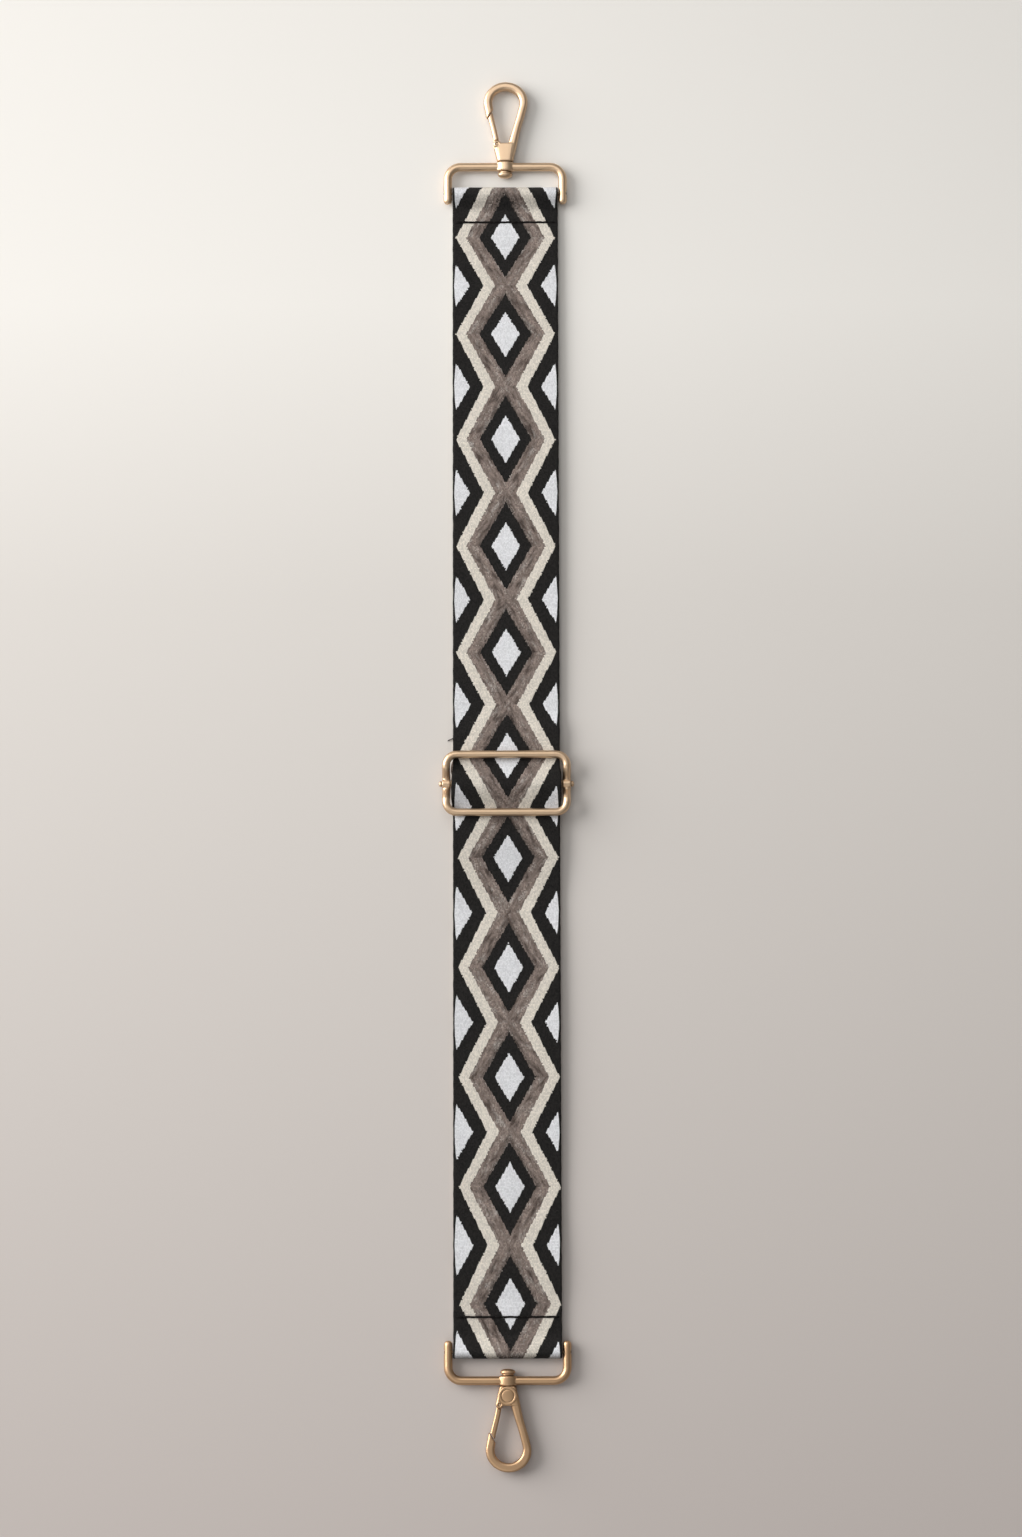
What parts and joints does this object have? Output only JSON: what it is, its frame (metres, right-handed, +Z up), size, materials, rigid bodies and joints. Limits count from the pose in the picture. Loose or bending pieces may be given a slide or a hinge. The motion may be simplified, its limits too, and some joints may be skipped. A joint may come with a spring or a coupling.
{
  "type": "adjustable bag strap",
  "caption": "Flat woven bag strap with a jacquard diamond pattern, a sliding adjuster and a swivel snap hook on a ring at each end.",
  "frame": {"origin": "on the ground under the middle of the strap, halfway between the hooks' tips", "axes": "X across the webbing, Y along it towards the top hook, Z up out of the patterned front"},
  "size_m": [0.0634, 0.655, 0.0086],
  "materials": {
    "patterned_webbing": "woven jacquard in black, cream, taupe and white",
    "webbing_back": "woven, the pattern's reverse",
    "light_gold": "satin light gold plate",
    "shaded_gold": "satin light gold plate, worn darker",
    "spring_steel": "bare wire"
  },
  "bodies": {
    "strap": {"webbing_lower": "patterned_webbing", "bottom_ring_bar": "shaded_gold"},
    "slider": {"slider_frame": "light_gold", "slider_bar": "shaded_gold", "webbing_crossing": "patterned_webbing", "webbing_end_loop": "webbing_back"},
    "top_end": {"webbing_upper": "patterned_webbing", "top_ring_bar": "shaded_gold"},
    "top_ring": {"top_ring_frame": "light_gold"},
    "top_hook": {"top_hook_body": "light_gold", "top_swivel_rivet": "light_gold", "top_hook_cap": "light_gold", "top_gate_pin": "shaded_gold", "top_gate_spring": "spring_steel"},
    "top_gate": {"top_gate": "light_gold"},
    "bottom_ring": {"bottom_ring_frame": "light_gold"},
    "bottom_hook": {"bottom_hook_body": "light_gold", "bottom_swivel_rivet": "light_gold", "bottom_hook_cap": "light_gold", "bottom_gate_pin": "shaded_gold", "bottom_gate_spring": "spring_steel"},
    "bottom_gate": {"bottom_gate": "light_gold"}
  },
  "joints": [
    {"name": "slider_slide", "type": "slide", "parent": "strap", "child": "slider", "axis": [0, 1, 0], "range_m": [-0.2, 0.44], "deforming": ["webbing_lower", "webbing_upper"]},
    {"name": "top_end_slide", "type": "slide", "parent": "slider", "child": "top_end", "axis": [0, 1, 0], "range_m": [-0.22, 0.1], "deforming": ["webbing_upper"]},
    {"name": "top_ring_hinge", "type": "hinge", "parent": "top_end", "child": "top_ring", "pos_m": [0, 0.2731, 0.003], "axis": [1, 0, 0], "range_deg": [-130, 145]},
    {"name": "top_swivel", "type": "hinge", "parent": "top_ring", "child": "top_hook", "pos_m": [0, 0.2861, 0.003], "axis": [0, 1, 0], "continuous": true},
    {"name": "top_gate_hinge", "type": "hinge", "parent": "top_hook", "child": "top_gate", "pos_m": [-0.00379, 0.2968, 0.003], "axis": [0, 0, -1], "range_deg": [0, 40], "stiffness_Nm_per_rad": 0.006, "springref_deg": -34.38, "deforming": ["top_gate_spring"]},
    {"name": "bottom_ring_hinge", "type": "hinge", "parent": "strap", "child": "bottom_ring", "pos_m": [0, -0.2731, 0.003], "axis": [-1, 0, 0], "range_deg": [-130, 145]},
    {"name": "bottom_swivel", "type": "hinge", "parent": "bottom_ring", "child": "bottom_hook", "pos_m": [0, -0.2861, 0.003], "axis": [0, -1, 0], "continuous": true},
    {"name": "bottom_gate_hinge", "type": "hinge", "parent": "bottom_hook", "child": "bottom_gate", "pos_m": [-0.00379, -0.2968, 0.003], "axis": [0, 0, 1], "range_deg": [0, 40], "stiffness_Nm_per_rad": 0.006, "springref_deg": -34.38, "deforming": ["bottom_gate_spring"]}
  ],
  "couplings": [
    {"joint": "top_end_slide", "follows": "slider_slide", "ratio": -0.5}
  ]
}
